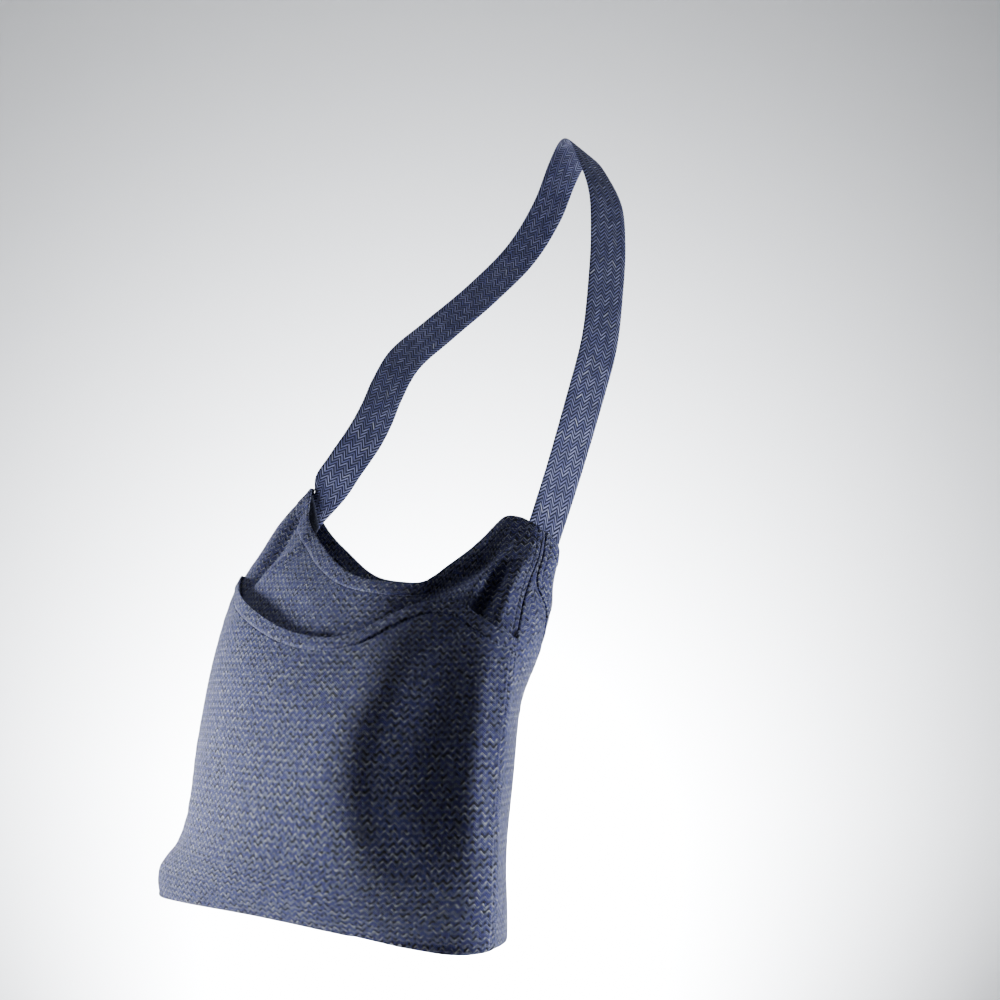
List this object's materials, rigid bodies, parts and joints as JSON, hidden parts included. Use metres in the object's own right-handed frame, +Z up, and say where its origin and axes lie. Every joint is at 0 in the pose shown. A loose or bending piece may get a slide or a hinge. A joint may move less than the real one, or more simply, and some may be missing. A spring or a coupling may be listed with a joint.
{
  "type": "shoulder bag",
  "caption": "Soft woven-cloth shoulder bag with a curved front slip pocket, an open U-shaped mouth between two ears, and a broad webbing strap sewn into them, hanging as worn.",
  "frame": {"origin": "where the strap rests on the shoulder, on the strap's underside", "axes": "+Z up, -Y out of the bag's front, +X to the side of the shoulder that the strap hangs from, in millimetres in the source"},
  "size_m": [0.4049, 0.3705, 0.8506],
  "materials": {
    "cloth": "thick zigzag weave in indigo and near black with pale flecks",
    "facing": "dark plain tweed",
    "webbing": "broad woven band with a fine zigzag"
  },
  "bodies": {
    "root": {"front_panel": "cloth", "rear_panel": "cloth", "gusset_right": "cloth", "gusset_left": "cloth", "bottom_panel": "cloth", "front_pocket": "cloth", "ear_facing_right": "facing", "ear_facing_left": "facing", "strap": "webbing"}
  },
  "joints": []
}
